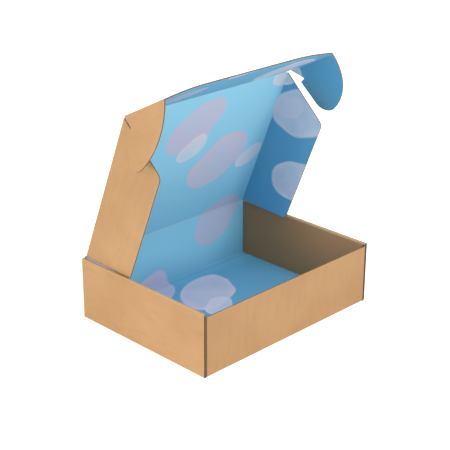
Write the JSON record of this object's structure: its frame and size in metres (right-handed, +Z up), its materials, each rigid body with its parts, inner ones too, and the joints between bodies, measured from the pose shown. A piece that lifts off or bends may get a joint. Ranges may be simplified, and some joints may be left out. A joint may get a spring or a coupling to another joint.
{
  "type": "corrugated mailer box",
  "caption": "Shallow corrugated mailer box standing open: rolled double side walls, hinged lid with side flaps, and a tuck flap with rounded locking ears, printed sky blue inside.",
  "frame": {"origin": "centre of the box's underside", "axes": "+Z up, +Y towards the rear wall that carries the lid, +X across the box, to the right seen from the front"},
  "size_m": [0.3494, 0.23, 0.3403],
  "materials": {
    "board_tray": "matte",
    "board_lid": "matte"
  },
  "bodies": {
    "tray": {"tray": "board_tray"},
    "lid": {"lid": "board_lid"},
    "lid_flap_left": {"lid_flap_left": "board_lid"},
    "lid_flap_right": {"lid_flap_right": "board_lid"},
    "tuck_flap": {"tuck_flap": "board_lid"},
    "ear_left": {"ear_left": "board_lid"},
    "ear_right": {"ear_right": "board_lid"}
  },
  "joints": [
    {"name": "lid_hinge", "type": "hinge", "parent": "tray", "child": "lid", "pos_m": [0, 0.115, 0.086], "axis": [-1, 0, 0], "range_deg": [-68, 112]},
    {"name": "tuck_fold", "type": "hinge", "parent": "lid", "child": "tuck_flap", "pos_m": [0, 0.02951, 0.29758], "axis": [-1, 0, 0], "range_deg": [-52.6, 37.4]},
    {"name": "ear_left_fold", "type": "hinge", "parent": "tuck_flap", "child": "ear_left", "pos_m": [-0.148, 0.02693, 0.29911], "axis": [0, 0.8905, -0.455], "range_deg": [-21, 69]},
    {"name": "ear_right_fold", "type": "hinge", "parent": "tuck_flap", "child": "ear_right", "pos_m": [0.148, 0.02693, 0.29911], "axis": [0, -0.8905, 0.455], "range_deg": [-21, 69]},
    {"name": "flap_left_fold", "type": "hinge", "parent": "lid", "child": "lid_flap_left", "pos_m": [-0.14455, 0.11347, 0.08538], "axis": [0, 0.3746, -0.9272], "range_deg": [-90, 1]},
    {"name": "flap_right_fold", "type": "hinge", "parent": "lid", "child": "lid_flap_right", "pos_m": [0.14455, 0.11347, 0.08538], "axis": [0, -0.3746, 0.9272], "range_deg": [-90, 1]}
  ]
}
